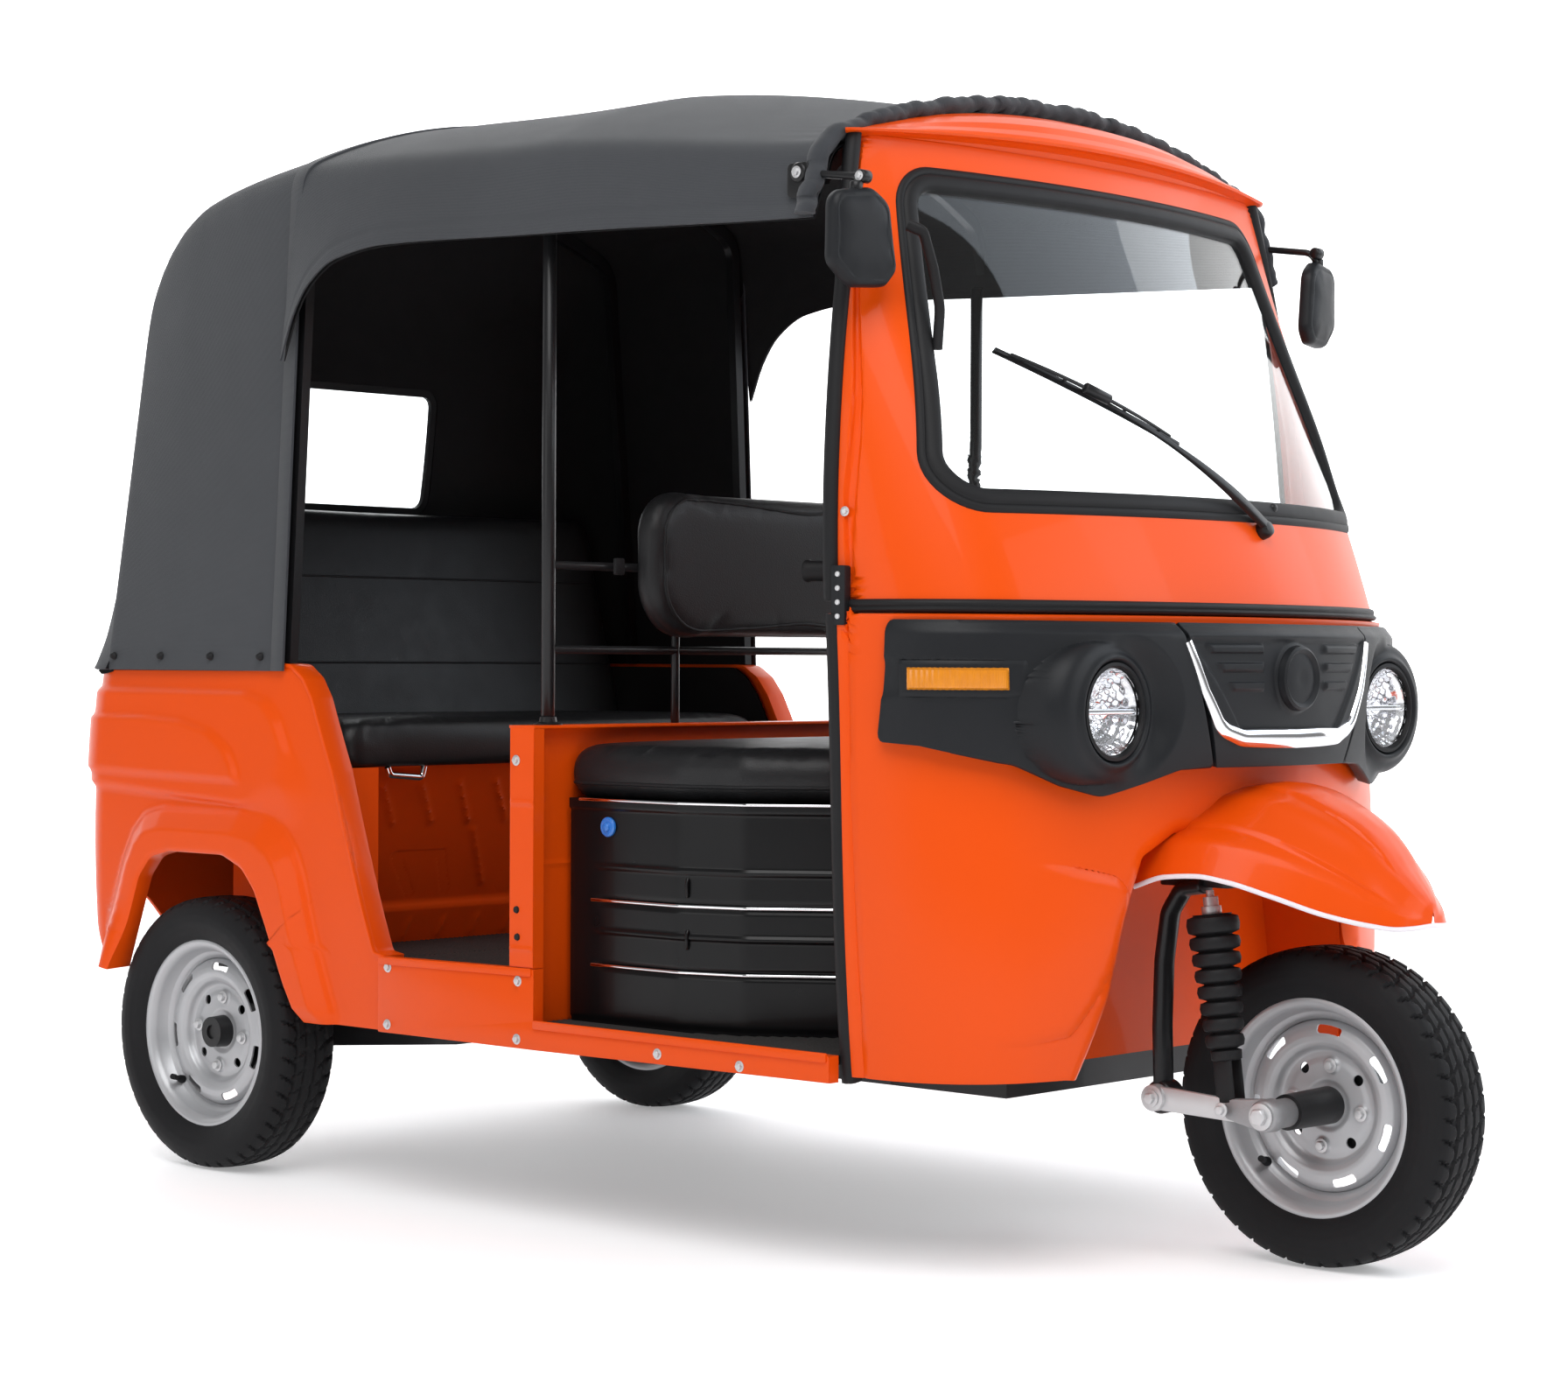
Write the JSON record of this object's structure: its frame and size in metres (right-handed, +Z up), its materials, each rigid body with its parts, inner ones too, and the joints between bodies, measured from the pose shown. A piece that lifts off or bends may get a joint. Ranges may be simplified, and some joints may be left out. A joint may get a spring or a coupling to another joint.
{
  "type": "auto rickshaw",
  "caption": "Open-sided three-wheeled passenger rickshaw with a steel cowl, fabric hood, driver seat, rear bench, single steered front wheel and two rear wheels.",
  "frame": {"origin": "on the ground under the middle of the overall box", "axes": "+Z up, -Y towards the front, -X towards the vehicle's right side"},
  "size_m": [1.34, 2.63, 1.8999],
  "materials": {
    "paint": "gloss",
    "black_steel": "satin",
    "black_rubber": "matte",
    "tyre_rubber": "matte",
    "clear_glass": "clear",
    "clear_film": "clear film",
    "lamp_glass": "clear",
    "black_plastic": "fine grain",
    "amber_lens": "clear lens",
    "red_lens": "clear lens",
    "bright_trim": "polished",
    "silver_steel": "silver paint",
    "cast_alloy": "as cast",
    "black_vinyl": "grained vinyl",
    "hood_fabric": "coated canvas"
  },
  "bodies": {
    "chassis": {"chassis_frame": "black_steel", "floor_pan": "paint", "sills": "paint", "cowl_lower": "paint", "cowl_upper": "paint", "roof_visor": "paint", "edge_trim": "black_rubber", "windshield_rubber": "black_rubber", "windshield_glass": "clear_glass", "wheel_housing": "paint", "mudguard": "paint", "fascia_centre": "black_plastic", "fascia_sides": "black_plastic", "headlamps": "lamp_glass", "indicators": "amber_lens", "grille_trim": "bright_trim", "dashboard": "black_plastic", "mirrors": "black_plastic", "wiper": "black_steel", "partition": "paint", "partition_rails": "black_steel", "seat_box": "black_plastic", "driver_cushion": "black_vinyl", "driver_backrest": "black_vinyl", "rear_quarters": "paint", "tail_panel": "paint", "tail_lamps": "red_lens", "engine_block": "cast_alloy", "bench_base": "paint", "bench_cushion": "black_vinyl", "bench_back": "black_vinyl", "hood": "hood_fabric", "hood_bows": "black_steel", "rear_window": "clear_film", "trailing_arms": "black_steel", "drive_shafts": "black_steel", "rear_shocks": "black_steel"},
    "steering": {"fork": "black_steel", "front_link": "silver_steel", "front_shock": "black_rubber", "handlebar": "black_steel"},
    "front_wheel": {"front_rim": "silver_steel", "front_hub": "black_steel", "front_tyre": "tyre_rubber"},
    "rear_right_wheel": {"rear_right_rim": "silver_steel", "rear_right_hub": "black_steel", "rear_right_tyre": "tyre_rubber"},
    "rear_left_wheel": {"rear_left_rim": "silver_steel", "rear_left_hub": "black_steel", "rear_left_tyre": "tyre_rubber"}
  },
  "joints": [
    {"name": "steering_turn", "type": "hinge", "parent": "chassis", "child": "steering", "pos_m": [0, -0.865, 0.6], "axis": [0, 0.4067, 0.9135], "range_deg": [-35, 35]},
    {"name": "front_wheel_spin", "type": "hinge", "parent": "steering", "child": "front_wheel", "pos_m": [0, -1.072, 0.243], "axis": [1, 0, 0], "continuous": true},
    {"name": "rear_right_wheel_spin", "type": "hinge", "parent": "chassis", "child": "rear_right_wheel", "pos_m": [-0.557, 0.902, 0.243], "axis": [1, 0, 0], "continuous": true},
    {"name": "rear_left_wheel_spin", "type": "hinge", "parent": "chassis", "child": "rear_left_wheel", "pos_m": [0.557, 0.902, 0.243], "axis": [1, 0, 0], "continuous": true}
  ]
}
